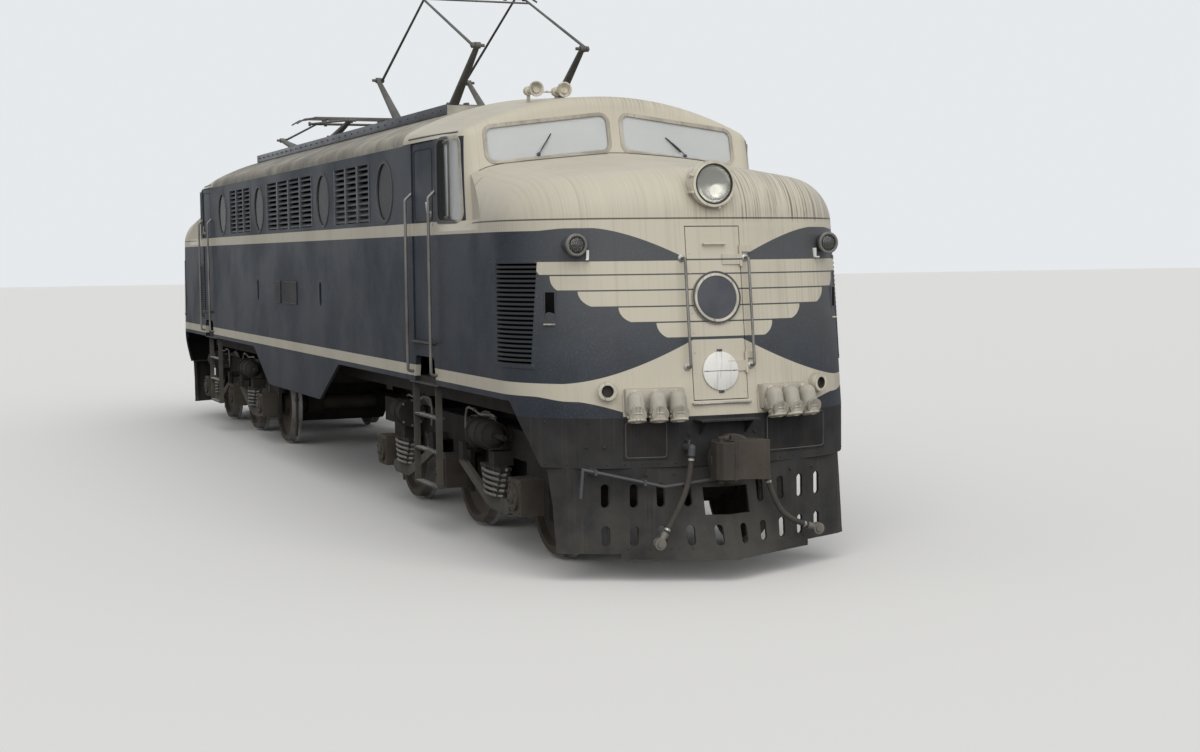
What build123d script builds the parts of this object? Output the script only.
from build123d import *
import os
from math import atan, atan2, cos, pi, radians, sin, sqrt, tan

# Electric locomotive with six motored axles, a cab and a bull nose at each end.
# Frame: X runs along the track with the front cab at +X, Y across, Z up.
# Z = 0 is at the tips of the wheel flanges, on which the locomotive stands.
# All sizes are millimetres. "Out" means away from the middle of the locomotive.

# Fits between pieces
FIT = 0.3
DOOR_GAP = 7.0

# Track and wheels
WHEEL_RADIUS = 508.0
FLANGE_DEPTH = 28.0
BACK_TO_BACK = 1522.0
TYRE_WIDTH = 140.0
TYRE_DEPTH = 75.0
FLANGE_THICKNESS = 32.0
TREAD_CONE = 8.0
HUB_RADIUS = 150.0
HUB_PROUD = 20.0
WEB_DISH = 62.0
WEB_THICKNESS = 30.0
AXLE_RADIUS = 90.0
SEAT_RADIUS = 80.0
JOURNAL_RADIUS = 65.0
JOURNAL_LENGTH = 130.0
JOURNAL_END_Y = 1200.0
RAIL_Z = FLANGE_DEPTH
AXLE_Z = RAIL_Z + WHEEL_RADIUS

# Bogies, drawn about their own centre
BOGIE_CENTRE_X = 5200.0
AXLE_SPACING = 2050.0
FRAME_IN_Y = 985.0
FRAME_THICKNESS = 40.0
FRAME_OUT_Y = FRAME_IN_Y + FRAME_THICKNESS
FRAME_TOP_Z = RAIL_Z + 1010.0
FRAME_LOW_Z = RAIL_Z + 760.0
FRAME_OVERHANG = 620.0
FRAME_END_X = AXLE_SPACING + FRAME_OVERHANG
HORN_WIDTH = 110.0
HORN_DROP = 180.0
BOX_HALF = 150.0
BOX_OUT_Y = 1230.0
BOX_CAP_RADIUS = 112.0
BOX_CAP_PROUD = 25.0
CROSSBAR_WIDTH = 120.0
CROSSBAR_DEPTH = 180.0
CENTRE_PIVOT_RADIUS = 260.0
BOLSTER_HALF_W = 300.0

# Motors and bogie gear
MOTOR_RADIUS = 330.0
MOTOR_HALF_W = 600.0
MOTOR_AXLE_GAP = 560.0
MOTOR_RAISE = 40.0
SPRING_CENTRE_X = 1380.0
SPRING_TOP_Z = RAIL_Z + 700.0
LEAF_HEIGHT = 29.0
LEAF_STEP = 46.0
LEAVES = 9
SPRING_IN_Y = 1110.0
SPRING_OUT_Y = 1215.0
BRAKE_CYLINDER_RADIUS = 118.0
BRAKE_CYLINDER_Z = RAIL_Z + 960.0
BRAKE_CYLINDER_Y = 1195.0

# Body
BODY_HALF_W = 1465.0
SIDE_WALL = 50.0
NOSE_WALL = 45.0
BODY_LOW_Z = RAIL_Z + 1350.0
DECK_THICKNESS = 50.0
CANT_Z = RAIL_Z + 3500.0
ROOF_CROWN_Z = RAIL_Z + 3970.0
ROOF_ARC_RADIUS = 3000.0
EAVES_RADIUS = 120.0
CAB_REAR_X = 4950.0
NOSE_JOINT_X = 7180.0
FLOOR_Z = RAIL_Z + 1700.0
FLOOR_THICKNESS = 60.0
UNDERFRAME_Z = RAIL_Z + 1150.0
DECK_END_X = 8400.0
MACHINERY_HALF_L = 1400.0
MACHINERY_HALF_W = 700.0
MACHINERY_TOP_Z = RAIL_Z + 3100.0
DESK_REAR_X = 6060.0
DESK_FRONT_X = 6420.0
DESK_HALF_W = 1000.0
SEAT_X = 5780.0
SEAT_Y = 560.0

# Roof well that holds the current collectors
WELL_END_X = 4500.0
WELL_HALF_W = 870.0
WELL_FLOOR_Z = RAIL_Z + 3740.0
WELL_PLATE = 30.0
COAMING_TOP_Z = RAIL_Z + 3925.0

# Cab: the upper part tapers in from the door to the windscreens
CAB_TAPER_X = 6000.0
CAB_TAPER_RADIUS = 850.0
CAB_PROW_RADIUS = 600.0
CAB_CORNER_BACK = 130.0
CAB_CORNER_Y = 1340.0
CAB_CORNER_RADIUS = 150.0
CAB_FRONT_LOW_X = 6750.0
CAB_FRONT_LOW_Z = RAIL_Z + 2700.0
CAB_FRONT_TOP_X = 6390.0
CAB_FRONT_TOP_Z = RAIL_Z + 4100.0
CAB_LEDGE_HEIGHT = 90.0
CAB_BROW_DROP = 130.0
CAB_BROW_X = 6700.0

# Nose: a bull nose with a shallow front arc, rounded corners and a rounded top rim
HOOD_CROWN_Z = RAIL_Z + 3288.0
HOOD_ARC_RADIUS = 5500.0
HOOD_SLOPE = 0.128
NOSE_RIM_RADIUS = 400.0
NOSE_LOW_X = 8640.0
NOSE_LOW_Z = RAIL_Z + 1240.0
NOSE_TOP_X = 8378.0
NOSE_TOP_Z = RAIL_Z + 3500.0
NOSE_FRONT_RADIUS = 3000.0
NOSE_CORNER_RADIUS = 900.0

# Cab doors
DOOR_REAR_X = 5200.0
DOOR_FRONT_X = 5880.0
DOOR_SILL_Z = FLOOR_Z
DOOR_TOP_Z = RAIL_Z + 3505.0
DOOR_RECESS = 12.0
KNUCKLE_HEIGHT = 110.0
KNUCKLE_RADIUS = 11.5
HINGE_SETBACK = 12.0
HINGE_ZS = (DOOR_SILL_Z + 250.0, DOOR_TOP_Z - 350.0)
DOOR_AXIS_X = DOOR_REAR_X + DOOR_GAP + 9.0
DOOR_AXIS_Y = BODY_HALF_W - SIDE_WALL - HINGE_SETBACK
STEP_NOTCH_TOP_Z = RAIL_Z + 1590.0

# Windows
WINDOW_SILL_Z = RAIL_Z + 2800.0
WINDOW_TOP_Z = RAIL_Z + 3490.0
SIDE_WINDOW_REAR_X = 5985.0
SIDE_WINDOW_LOW_X = 6432.0
SIDE_WINDOW_TOP_X = 6322.0
SCREEN_INNER_Y = 75.0
SCREEN_OUTER_Y = 1150.0
SCREEN_SILL_Z = RAIL_Z + 3400.0
SCREEN_TOP_Z = RAIL_Z + 3700.0
SCREEN_SILL_DROP = 110.0
SCREEN_TOP_DROP = 130.0
WINDOW_CORNER = 60.0
SEAL_WIDTH = 32.0
SEAL_PROUD = 6.0
SEAL_DEPTH = 30.0
GLASS_FRONT = 8.0
GLASS_BACK = 20.0

# Nose doors
NOSE_DOOR_HALF_W = 235.0
NOSE_DOOR_SILL_Z = RAIL_Z + 1355.0
NOSE_DOOR_TOP_Z = RAIL_Z + 2700.0
NOSE_HINGE_PROUD = 18.0
NOSE_HINGE_RADIUS = 12.0
NOSE_HINGE_ZS = (NOSE_DOOR_SILL_Z + 260.0, NOSE_DOOR_TOP_Z - 260.0)
NOSE_HANDLE_Z = RAIL_Z + 2560.0
NOSE_HANDLE_HALF_W = 85.0
DISC_SEAT = 10.0
# Round plates on the front nose door: height, radius, thickness
DOOR_DISCS = ((RAIL_Z + 2144.0, 208.0, 14.0), (RAIL_Z + 1578.0, 150.0, 12.0))

# Nose side grilles
GRILLE_REAR_X = 7560.0
GRILLE_FRONT_X = 8085.0
GRILLE_LOW_Z = RAIL_Z + 1610.0
GRILLE_TOP_Z = RAIL_Z + 2461.0
GRILLE_SLATS = 22
GRILLE_FRAME = 28.0
GRILLE_PROUD = 7.0
SIDE_GRILLE_REAR_X = 5940.0
SIDE_GRILLE_FRONT_X = 6280.0
SIDE_GRILLE_LOW_Z = RAIL_Z + 1596.0
SIDE_GRILLE_TOP_Z = RAIL_Z + 2412.0

# Body side between the cabs
PORTHOLE_RADIUS = 300.0
PORTHOLE_Z = RAIL_Z + 3108.0
PORTHOLE_XS = (-4270.0, -1730.0, 1730.0, 4270.0)
LOUVRE_TOP_Z = RAIL_Z + 3400.0
LOUVRE_LOW_Z = RAIL_Z + 2830.0
LOUVRE_ROWS = 10
LOUVRE_BAR = 26.0
# Louvre panels: rear X, front X, columns
LOUVRE_PANELS = ((-3720.0, -2270.0, 3), (-1230.0, 1230.0, 4), (2270.0, 3720.0, 3))
STEP_SLOT_XS = (-1900.0, 1530.0)
STEP_SLOT_LOW_Z = RAIL_Z + 1954.0
STEP_SLOT_TOP_Z = RAIL_Z + 2219.0
STEP_SLOT_WIDTH = 95.0
SKIRT_TOP_X = 2280.0
SKIRT_LOW_X = 1380.0
SKIRT_LOW_Z = RAIL_Z + 912.0
SKIRT_THICKNESS = 30.0

# Headstock and pilot
HEADSTOCK_LOW_Z = RAIL_Z + 855.0
PILOT_PLATE = 25.0
PILOT_LOW_Z = RAIL_Z + 195.0
PILOT_LIP_Z = RAIL_Z + 148.0
PILOT_LIP_HALF_W = 810.0
# Pilot facets: distance from the centre line, X at the headstock, X at the lip
PILOT_FACETS = ((0.0, 8640.0, 8900.0), (700.0, 8560.0, 8564.0), (1180.0, 8330.0, 8345.0),
                (1400.0, 7960.0, 8180.0))
# Pilot slots: centre height, half height, distances from the centre line
PILOT_SLOTS = ((RAIL_Z + 640.0, 92.0, (310.0, 515.0, 715.0, 915.0)),
               (RAIL_Z + 330.0, 78.0, (105.0, 310.0, 515.0, 715.0, 915.0)))
PILOT_SLOT_RADIUS = 32.0
SLOT_NECK = 1.0

# Couplers
COUPLER_FACE_X = 8990.0
COUPLER_Z = RAIL_Z + 917.0
COUPLER_HEAD_HEIGHT = 300.0
DRAFT_BOX_X = 7960.0
DRAFT_BOX_LENGTH = 440.0
DRAFT_BOX_HALF_W = 280.0
DRAFT_BOX_LOW_Z = RAIL_Z + 700.0
COUPLER_SHANK_HALF_W = 65.0
LEVER_OUTER = (8500.0, -1112.0, RAIL_Z + 858.0)
LEVER_INNER = (8700.0, -520.0, RAIL_Z + 716.0)
LEVER_RADIUS = 13.0

# Current collectors, drawn about their own centre
PAN_CENTRE_X = 2570.0
PAN_PIVOT_X = 1000.0
PAN_PIVOT_Z = RAIL_Z + 3985.0
PAN_ARM_Y = 545.0
PAN_LOWER_LEN = 984.8
PAN_UPPER_LEN = 1972.1
PAN_LOWERED = 10.0
PAN_RAISED = 32.56
PAN_SPREAD = 48.0
PAN_SHAFT_RADIUS = 32.0
PAN_PIN_RADIUS = 16.0
PAN_COLLAR_HALF = 13.0
PAN_PIN_GAP = 5.0
PAN_BEAM_Y = 400.0
PAN_BEAM = 55.0
INSULATOR_X = 780.0
INSULATOR_HEIGHT = 150.0

# Lamps and end fittings: distance from the centre line, height
HEADLIGHT_Z = RAIL_Z + 3022.0
HEADLIGHT_RADIUS = 178.0
HEADLIGHT_FACE_X = 8520.0
HEADLIGHT_DEPTH = 130.0
HEADLIGHT_TAIL = 680.0
RIM_WIDTH = 28.0
MARKER_Y = 1087.0
MARKER_Z = RAIL_Z + 2561.0
MARKER_FACE_X = 8365.0
MARKER_RADIUS = 86.0
TAIL_Y = 893.0
TAIL_Z = RAIL_Z + 1450.0
TAIL_RADIUS = 72.0
TAIL_PROUD = 72.0
SOCKET_YS = (399.0, 548.0, 706.0)
SOCKET_Z = RAIL_Z + 1330.0
SOCKET_REACH = 180.0
SOCKET_RADIUS = 66.0

# Handrails and ladders
RAIL_RADIUS = 14.0
RAIL_STANDOFF = 55.0
RAIL_CLEAR = 12.0
RAIL_LOW_Z = RAIL_Z + 1440.0
RAIL_TOP_Z = RAIL_Z + 3060.0
NOSE_RAIL_Y = 272.0
NOSE_RAIL_PROUD = 70.0
NOSE_RAIL_RADIUS = 11.0
NOSE_RAIL_LOW_Z = RAIL_Z + 1615.0
NOSE_RAIL_TOP_Z = RAIL_Z + 2450.0
LADDER_RUNG_STEP = 312.0
LADDER_RUNGS = 3
LADDER_Y = 1405.0
LADDER_REAR_X = 5040.0
LADDER_FRONT_X = 5740.0

# Hoses at the front
HOSE_RADIUS = 22.0
COCK_RADIUS = 30.0
COCK_DROP = 60.0
# Route points from the cock's face down to the coupling
HOSE_BRAKE = ((8740.0, -316.0, 975.0), (8745.0, -332.0, 800.0), (8755.0, -425.0, 580.0), (8760.0, -545.0, 400.0))
HOSE_MAIN = ((8740.0, 333.0, 769.0), (8745.0, 385.0, 600.0), (8755.0, 500.0, 440.0), (8760.0, 672.0, 381.0))

# Horns on the cab roof and blank plates
HORN_FACE_X = 6080.0
HORN_Z = RAIL_Z + 3950.0
HORN_YS = (-561.0, -297.0)
PLATE_PROUD = 9.0
# Side plates: rear X, front X
SIDE_PLATES = ((-835.0, -517.0), (-335.0, 369.0))
# Headstock plates: Y from and to, Z from and to
FRONT_PLATES = ((-790.0, -450.0, RAIL_Z + 920.0, RAIL_Z + 1220.0), (380.0, 985.0, RAIL_Z + 930.0, RAIL_Z + 1235.0))

os.makedirs("parts", exist_ok=True)


def cached(make):
    """Remembers what a shape function made for the same sizes."""
    made = {}

    def call(*sizes):
        if sizes not in made:
            made[sizes] = make(*sizes)
        return made[sizes]

    return call


def block(x0, x1, y0, y1, z0, z1):
    """A box between two corners, given in any order."""
    centre = Pos((x0 + x1) / 2, (y0 + y1) / 2, (z0 + z1) / 2)
    return centre * Box(abs(x1 - x0), abs(y1 - y0), abs(z1 - z0))


def rod(start, end, radius, end_radius=None):
    """A round bar between two points, tapered if it has an end radius."""
    a = Vector(*start)
    b = Vector(*end)
    plane = Plane(origin=a, z_dir=b - a)
    if end_radius is None:
        return extrude(plane * Circle(radius), amount=(b - a).length)
    far = Plane(origin=b, z_dir=b - a)
    return loft([(plane * Circle(radius)).face(), (far * Circle(end_radius)).face()], ruled=True)


def turned(shape):
    """The same piece at the other end of the locomotive."""
    return Rot(0, 0, 180) * shape


def mirrored(shape):
    """The same piece on the other side of the centre line."""
    return mirror(shape, about=Plane.XZ)


def both_sides(shape):
    return [shape, mirrored(shape)]


def four_corners(shape):
    """A piece at the front right, copied to the other three corners."""
    pair = both_sides(shape)
    return pair + [turned(piece) for piece in pair]


def fused(shapes):
    """One solid from shapes that overlap or meet."""
    first = shapes[0]
    return first + shapes[1:] if len(shapes) > 1 else first


def save(name, *shapes):
    """Write one node from solids that do not touch each other."""
    solids = []
    for shape in shapes:
        solids.extend(shape.solids())
    export_step(Compound(children=solids), "parts/" + name + ".step")
    print(name, len(solids), round(sum(s.volume for s in solids) / 1e6, 2), "dm3")


# Wheelsets

@cached
def wheelset():
    """Axle with both wheels at X = 0, turned in one revolve about the axle line."""
    back = BACK_TO_BACK / 2
    outer = back + TYRE_WIDTH
    flange = back + FLANGE_THICKNESS
    flange_r = WHEEL_RADIUS + FLANGE_DEPTH
    rim_r = WHEEL_RADIUS - TYRE_DEPTH
    web_in = back + WEB_DISH
    hub_out = outer + HUB_PROUD
    hub_in = back - HUB_PROUD
    tip = FLANGE_THICKNESS * 0.4
    seat_end = JOURNAL_END_Y - JOURNAL_LENGTH
    half = [
        (0, AXLE_RADIUS), (hub_in, AXLE_RADIUS), (hub_in, HUB_RADIUS), (back + WEB_DISH / 2, HUB_RADIUS),
        (web_in, rim_r - HUB_PROUD), (back, rim_r), (back, flange_r - tip), (back + tip, flange_r),
        (flange - tip, flange_r - tip / 3), (flange + tip / 2, WHEEL_RADIUS),
        (outer - tip / 2, WHEEL_RADIUS - TREAD_CONE), (outer, WHEEL_RADIUS - 2 * TREAD_CONE), (outer, rim_r),
        (web_in + WEB_THICKNESS, rim_r - HUB_PROUD), (web_in + WEB_THICKNESS, HUB_RADIUS),
        (hub_out, HUB_RADIUS), (hub_out, SEAT_RADIUS), (seat_end, SEAT_RADIUS),
        (seat_end, JOURNAL_RADIUS), (JOURNAL_END_Y, JOURNAL_RADIUS), (JOURNAL_END_Y, 0),
    ]
    points = [(-y, r) for y, r in reversed(half[1:])] + half[1:]
    face = make_face(Polyline(*points, close=True))
    # The sketch runs along its own X, which is laid along the axle
    plane = Plane(origin=(0, 0, AXLE_Z), x_dir=(0, 1, 0), z_dir=(1, 0, 0))
    axis = Axis((0, 0, AXLE_Z), (0, 1, 0))
    return revolve(plane * face, axis=axis, revolution_arc=360)


# Bogies

AXLE_XS = (AXLE_SPACING, 0.0, -AXLE_SPACING)
CROSSBAR_XS = (-FRAME_END_X + CROSSBAR_WIDTH / 2, -AXLE_SPACING / 2, AXLE_SPACING / 2,
               FRAME_END_X - CROSSBAR_WIDTH / 2)
CROSSBAR_TOP_Z = FRAME_TOP_Z - 20.0
CROSSBAR_LOW_Z = CROSSBAR_TOP_Z - CROSSBAR_DEPTH


@cached
def bogie_frame():
    """Plate frames with horn gaps over the axles, joined by crossbars and a bolster."""
    horn_low = AXLE_Z - HORN_DROP
    gap = BOX_HALF + FIT
    side = block(-FRAME_END_X, FRAME_END_X, FRAME_IN_Y, FRAME_OUT_Y, FRAME_LOW_Z, FRAME_TOP_Z)
    horns = []
    gaps = []
    for x in AXLE_XS:
        wide = BOX_HALF + HORN_WIDTH
        horns.append(block(x - wide, x + wide, FRAME_IN_Y, FRAME_OUT_Y, horn_low, FRAME_TOP_Z))
        gaps.append(block(x - gap, x + gap, FRAME_IN_Y, FRAME_OUT_Y, horn_low, AXLE_Z + BOX_HALF + FIT))
    side = side + horns - gaps
    bars = [block(x - CROSSBAR_WIDTH / 2, x + CROSSBAR_WIDTH / 2, -FRAME_IN_Y, FRAME_IN_Y,
                  CROSSBAR_LOW_Z, CROSSBAR_TOP_Z) for x in CROSSBAR_XS]
    half = AXLE_SPACING / 2
    bolster = block(-half, half, -BOLSTER_HALF_W, BOLSTER_HALF_W, CROSSBAR_TOP_Z - 100, CROSSBAR_TOP_Z)
    pivot = rod((0, 0, CROSSBAR_TOP_Z - 50), (0, 0, UNDERFRAME_Z), CENTRE_PIVOT_RADIUS)
    return fused([side, mirrored(side), *bars, bolster, pivot])


@cached
def axle_box():
    """Roller box on the right of one axle, bored for the stepped journal, with a round cap."""
    box = block(-BOX_HALF, BOX_HALF, FRAME_IN_Y, BOX_OUT_Y, AXLE_Z - BOX_HALF, AXLE_Z + BOX_HALF)
    box += rod((0, BOX_OUT_Y - 1, AXLE_Z), (0, BOX_OUT_Y + BOX_CAP_PROUD, AXLE_Z), BOX_CAP_RADIUS)
    seat_end = JOURNAL_END_Y - JOURNAL_LENGTH + FIT
    box -= rod((0, FRAME_IN_Y - 1, AXLE_Z), (0, seat_end, AXLE_Z), SEAT_RADIUS + FIT)
    box -= rod((0, FRAME_IN_Y - 1, AXLE_Z), (0, JOURNAL_END_Y + FIT, AXLE_Z), JOURNAL_RADIUS + FIT)
    return box


@cached
def motor():
    """Axle-hung motor behind an axle at X = 0, with bearings round the axle and a nose lug."""
    axis_x = -MOTOR_AXLE_GAP
    z = AXLE_Z + MOTOR_RAISE
    case = rod((axis_x, -MOTOR_HALF_W, z), (axis_x, MOTOR_HALF_W, z), MOTOR_RADIUS)
    arm = 110.0
    for y in (-MOTOR_HALF_W + arm, MOTOR_HALF_W - arm):
        case += block(axis_x, 0, y - arm, y + arm, AXLE_Z - 120, AXLE_Z + 120)
        case += rod((0, y - arm, AXLE_Z), (0, y + arm, AXLE_Z), AXLE_RADIUS + 50)
    case -= rod((0, -MOTOR_HALF_W - 1, AXLE_Z), (0, MOTOR_HALF_W + 1, AXLE_Z), AXLE_RADIUS + FIT)
    bar_face = -(AXLE_SPACING / 2 - CROSSBAR_WIDTH / 2)
    case += block(bar_face, axis_x, -150, 150, CROSSBAR_LOW_Z - 80, CROSSBAR_LOW_Z + 25)
    return case


@cached
def spring_set():
    """Leaf spring over the hook of its hanger beam, right front of the bogie."""
    leaves = []
    low_z = SPRING_TOP_Z - LEAVES * LEAF_HEIGHT
    for i in range(LEAVES):
        half = 270.0 - LEAF_STEP / 2 * (LEAVES - 1 - i) * 0.55
        inset = 8.0 if i % 2 else 0.0
        z = low_z + i * LEAF_HEIGHT
        leaves.append(block(SPRING_CENTRE_X - half, SPRING_CENTRE_X + half, SPRING_IN_Y + inset,
                            SPRING_OUT_Y - inset, z, z + LEAF_HEIGHT))
    saddle = block(SPRING_CENTRE_X - 70, SPRING_CENTRE_X + 70, FRAME_OUT_Y, SPRING_OUT_Y - 15,
                   SPRING_TOP_Z - 5, FRAME_LOW_Z + 60)
    end_x = 1820.0
    low = RAIL_Z + 320.0
    outline = Polyline((400, FRAME_LOW_Z + 60), (400, FRAME_LOW_Z - 130), (1150, low + 30), (1290, low - 5),
                       (end_x - 80, low - 5), (end_x, low + 60), (end_x - 60, low + 120), (1620, low_z),
                       (1180, low_z), (520, FRAME_LOW_Z - 90), (520, FRAME_LOW_Z + 60), close=True)
    beam_y = (SPRING_IN_Y + SPRING_OUT_Y) / 2
    beam = extrude(Plane(origin=(0, beam_y, 0), x_dir=(1, 0, 0), z_dir=(0, -1, 0)) * make_face(outline),
                   amount=20, both=True)
    boss = rod((460, FRAME_OUT_Y, FRAME_LOW_Z + 20), (460, beam_y, FRAME_LOW_Z + 20), 40)
    return fused([*leaves, saddle, beam, boss])


@cached
def brake_cylinder():
    """Air cylinder on the frame's outer face, with a flange, a cap and its push rod."""
    x = 1080.0
    y = BRAKE_CYLINDER_Y
    z = BRAKE_CYLINDER_Z
    r = BRAKE_CYLINDER_RADIUS
    body = rod((x, y, z), (x + 380, y, z), r)
    body += rod((x - 30, y, z), (x, y, z), r + 18)
    body += rod((x + 180, y, z), (x + 205, y, z), r + 10)
    body += rod((x + 380, y, z), (x + 450, y, z), r - 10, r - 60)
    body += rod((x + 440, y, z), (x + 640, y, z), 24)
    body += block(x + 40, x + 340, FRAME_OUT_Y, y, z - 60, z + 50)
    return body


def at_bogie(shape, end):
    """A bogie piece moved to its place at one end; the rear bogie is the front one turned."""
    place = Pos(BOGIE_CENTRE_X, 0, 0) * shape
    return place if end > 0 else turned(place)


def running_gear():
    """Motors, springs and brake cylinders of one bogie, as separate solids."""
    pieces = [Pos(AXLE_SPACING, 0, 0) * motor()]
    pieces.append(Rot(0, 0, 180) * motor())
    pieces.append(Rot(0, 0, 180) * (Pos(AXLE_SPACING, 0, 0) * motor()))
    pieces += four_corners(mirrored(spring_set()))
    pieces += four_corners(mirrored(brake_cylinder()))
    return pieces


# Body forms

def arch(x, half_w, low_z, crown_z, radius):
    """Cross-section at one X: upright sides under an arched top with sharp shoulders."""
    top_z = crown_z - (radius - sqrt(radius ** 2 - half_w ** 2))
    sides = Polyline((-half_w, top_z), (-half_w, low_z), (half_w, low_z), (half_w, top_z))
    face = make_face(sides + ThreePointArc((half_w, top_z), (0, crown_z), (-half_w, top_z)))
    return Plane(origin=(x, 0, 0), x_dir=(0, 1, 0), z_dir=(1, 0, 0)) * face


def cab_plan(front_x, z, off):
    """Plan of the upper cab at one height, set in from the outside by off."""
    corner_x = front_x - CAB_CORNER_BACK
    taper = (BODY_HALF_W - CAB_CORNER_Y) / (corner_x - CAB_TAPER_X)
    rake = CAB_CORNER_BACK / CAB_CORNER_Y
    half_w = BODY_HALF_W - off
    front = front_x - off / cos(atan2(CAB_CORNER_BACK, CAB_CORNER_Y))
    # The corner is where the taper line meets the windscreen line, both set in by off
    x = (front - rake * (half_w + taper * CAB_TAPER_X)) / (1 - taper * rake)
    y = half_w - taper * (x - CAB_TAPER_X)
    rear = CAB_REAR_X
    line = Polyline((front, 0), (x, y), (CAB_TAPER_X, half_w), (rear, half_w), (rear, 0), close=True)
    half = make_face(line)
    half = fillet(half.vertices().sort_by_distance((x, y))[0], CAB_CORNER_RADIUS - off)
    if off > 0:
        return Pos(0, 0, z) * (half + mirrored(half))
    # Only the outside shows its slight bends, so only there are they rounded
    half = fillet(half.vertices().sort_by_distance((CAB_TAPER_X, half_w))[0], CAB_TAPER_RADIUS - off)
    whole = half + mirrored(half)
    whole = fillet(whole.vertices().sort_by_distance((front, 0))[0], CAB_PROW_RADIUS - off)
    return Pos(0, 0, z) * whole


def ledge_plan(z, off, corner_y):
    """Plan at the foot of the cab's taper, with the cab corner at a given half width."""
    corner_x = CAB_FRONT_LOW_X - CAB_CORNER_BACK
    half_w = BODY_HALF_W - off
    y = corner_y - off
    half = [(CAB_REAR_X, half_w), (CAB_TAPER_X, half_w), (corner_x, y), (NOSE_JOINT_X, half_w)]
    points = half + [(px, -py) for px, py in reversed(half)]
    return Pos(0, 0, z) * make_face(Polyline(*points, close=True))


@cached
def nose_block(off):
    """Nose and hood in one form, before it is cut at the joint: walls, arched top, rounded rim."""
    half_w = BODY_HALF_W - off
    rear_x = NOSE_JOINT_X - 900

    def plan(front_x, z):
        radius = NOSE_FRONT_RADIUS - off
        front = front_x - off
        edge_x = front - (radius - sqrt(radius ** 2 - half_w ** 2))
        line = Polyline((edge_x, half_w), (rear_x, half_w), (rear_x, -half_w), (edge_x, -half_w))
        face = make_face(line + ThreePointArc((edge_x, -half_w), (front, 0), (edge_x, half_w)))
        face = fillet(face.vertices().group_by(Axis.X)[-1], NOSE_CORNER_RADIUS - off)
        return (Pos(0, 0, z) * face).face()

    body = loft([plan(NOSE_LOW_X, NOSE_LOW_Z), plan(NOSE_TOP_X, NOSE_TOP_Z)], ruled=True)
    wide = BODY_HALF_W + 200
    ends = []
    for x in (rear_x, NOSE_LOW_X + 160):
        crown = HOOD_CROWN_Z - off - HOOD_SLOPE * (x - NOSE_JOINT_X)
        ends.append(arch(x, wide, NOSE_LOW_Z - 10, crown, HOOD_ARC_RADIUS).face())
    body = body & loft(ends, ruled=True)
    top = body.faces().sort_by(Axis.Z)[-1]
    rim = [edge for edge in top.edges() if edge.center().X > rear_x + 10]
    return fillet(rim, NOSE_RIM_RADIUS - off)


@cached
def nose_solid(off):
    """The nose ahead of the joint."""
    return nose_block(off) & block(NOSE_JOINT_X, NOSE_LOW_X + 100, -2000, 2000, 0, 5000)


@cached
def cab_solid(off):
    """The cab's outside, or the same form set in by a wall thickness."""
    low_z = BODY_LOW_Z if off <= 0 else FLOOR_Z
    half_w = BODY_HALF_W - off
    plans = [cab_plan(CAB_FRONT_LOW_X, CAB_FRONT_LOW_Z, off).face(),
             cab_plan(CAB_FRONT_TOP_X, CAB_FRONT_TOP_Z, off).face()]
    crown = ROOF_CROWN_Z - off
    wide = BODY_HALF_W + 200
    tops = [arch(CAB_REAR_X, wide, CAB_FRONT_LOW_Z - 10, crown, ROOF_ARC_RADIUS).face(),
            arch(CAB_BROW_X + 100, wide, CAB_FRONT_LOW_Z - 10, crown - CAB_BROW_DROP, ROOF_ARC_RADIUS).face()]
    upper = loft(plans, ruled=True) & loft(tops, ruled=True)
    if off <= 0:
        top = upper.faces().sort_by(Axis.Z)[-1]
        rim = [edge for edge in top.edges() if edge.center().X > CAB_REAR_X + 10]
        upper = fillet(rim, EAVES_RADIUS - off)
    low = block(CAB_REAR_X, NOSE_JOINT_X, -half_w, half_w, low_z, CAB_FRONT_LOW_Z)
    ledge = loft([ledge_plan(CAB_FRONT_LOW_Z, off, BODY_HALF_W).face(),
                  ledge_plan(CAB_FRONT_LOW_Z + CAB_LEDGE_HEIGHT, off, CAB_CORNER_Y).face()], ruled=True)
    corner_x = CAB_FRONT_LOW_X - CAB_CORNER_BACK
    hood_plan = Polyline((corner_x - 300, 0), (corner_x - 300, CAB_CORNER_Y - off - 60),
                         (corner_x, CAB_CORNER_Y - off), (NOSE_JOINT_X, half_w), (NOSE_JOINT_X, 0), close=True)
    hood_cut = extrude(Pos(0, 0, CAB_FRONT_LOW_Z) * make_face(hood_plan), amount=1200)
    hood = nose_block(off) & (hood_cut + mirrored(hood_cut))
    return fused([upper, low, ledge, hood])


# Cab openings and pieces

def window_cuts(grow):
    """Cuts of the cab's side windows, grown by the seal's width."""
    low = WINDOW_SILL_Z - grow
    top = WINDOW_TOP_Z + grow
    slope = (SIDE_WINDOW_LOW_X - SIDE_WINDOW_TOP_X) / (WINDOW_TOP_Z - WINDOW_SILL_Z)
    front_low = SIDE_WINDOW_LOW_X + grow * (1 + slope)
    front_top = SIDE_WINDOW_TOP_X + grow * (1 - slope)
    rear = SIDE_WINDOW_REAR_X - grow
    face = make_face(Polyline((rear, low), (front_low, low), (front_top, top), (rear, top), close=True))
    face = fillet(face.vertices(), WINDOW_CORNER + grow)
    reach = 6 * SIDE_WALL
    cut = extrude(Plane.XZ * face, amount=reach)
    return both_sides(Pos(0, -BODY_HALF_W + reach - SIDE_WALL, 0) * cut)


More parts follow.
